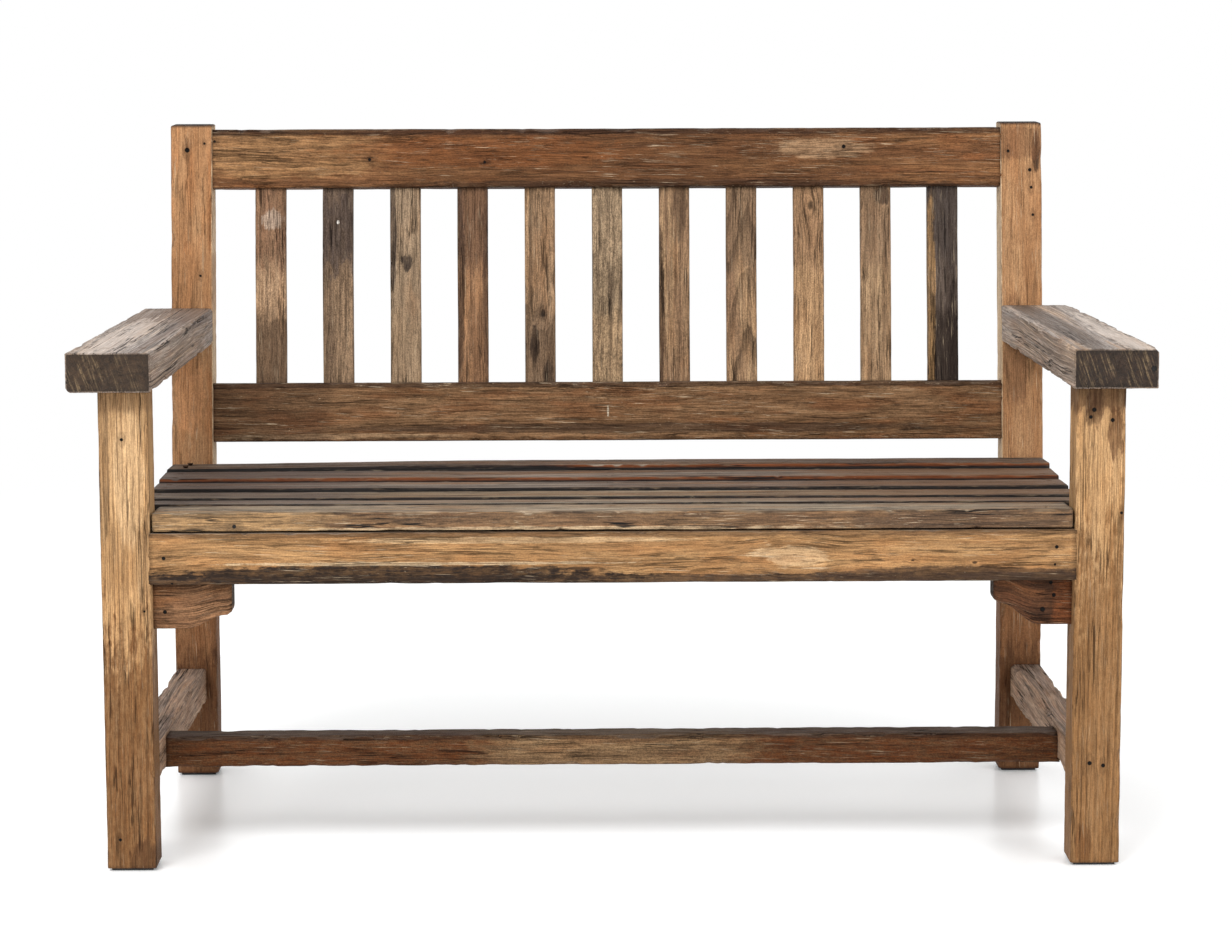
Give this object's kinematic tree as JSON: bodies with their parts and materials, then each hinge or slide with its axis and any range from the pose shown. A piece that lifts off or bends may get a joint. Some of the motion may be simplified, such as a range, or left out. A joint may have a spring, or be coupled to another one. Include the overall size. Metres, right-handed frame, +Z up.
{
  "type": "garden bench",
  "caption": "Weathered timber garden bench with flat arms, a dished slatted seat, a leaning slatted back, corner brackets and low stretchers.",
  "frame": {"origin": "on the floor at the centre of the bench's bounding box", "axes": "+X to the right along the seat as seen from the front, +Y from the front legs to the back, +Z up; a sitter faces -Y"},
  "size_m": [1.34, 0.6888, 0.907],
  "materials": {
    "leg_timber": "golden weathered softwood, bare, with open grain and dark checks",
    "post_timber": "orange-brown weathered timber, bare, worn edges",
    "back_rail_timber": "red-brown weathered timber with dark top edges and pale scratches",
    "back_slat_timber": "mixed reclaimed timber, each slat its own tone, knots and dark stains",
    "arm_timber": "grey-brown rough weathered top, nearly black end grain",
    "seat_timber": "silver-grey rain-washed tops with brown edges",
    "frame_timber": "dull grey-brown rough timber",
    "peg_timber": "dark hardwood end grain",
    "screw_steel": "dull darkened steel",
    "pad_rubber": "matt black"
  },
  "bodies": {
    "root": {"front_leg_left": "leg_timber", "front_leg_right": "leg_timber", "rear_post_left": "post_timber", "rear_post_right": "post_timber", "top_back_rail": "back_rail_timber", "lower_back_rail": "back_rail_timber", "back_slat_1": "back_slat_timber", "back_slat_2": "back_slat_timber", "back_slat_3": "back_slat_timber", "back_slat_4": "back_slat_timber", "back_slat_5": "back_slat_timber", "back_slat_6": "back_slat_timber", "back_slat_7": "back_slat_timber", "back_slat_8": "back_slat_timber", "back_slat_9": "back_slat_timber", "back_slat_10": "back_slat_timber", "back_slat_11": "back_slat_timber", "armrest_left": "arm_timber", "armrest_right": "arm_timber", "front_seat_rail": "leg_timber", "rear_seat_rail": "frame_timber", "side_seat_rail_left": "frame_timber", "side_seat_rail_right": "frame_timber", "centre_seat_bearer": "frame_timber", "seat_slat_1": "seat_timber", "seat_slat_2": "seat_timber", "seat_slat_3": "seat_timber", "seat_slat_4": "seat_timber", "seat_slat_5": "seat_timber", "seat_slat_6": "seat_timber", "corner_bracket_left": "frame_timber", "corner_bracket_right": "frame_timber", "side_stretcher_left": "frame_timber", "side_stretcher_right": "frame_timber", "long_stretcher": "frame_timber", "joint_pegs": "peg_timber", "seat_slat_screws": "screw_steel", "armrest_screws": "screw_steel", "bracket_screws": "screw_steel", "foot_pad_front_left": "pad_rubber", "foot_pad_front_right": "pad_rubber", "foot_pad_rear_left": "pad_rubber", "foot_pad_rear_right": "pad_rubber", "foot_pad_nails": "screw_steel"}
  },
  "joints": []
}
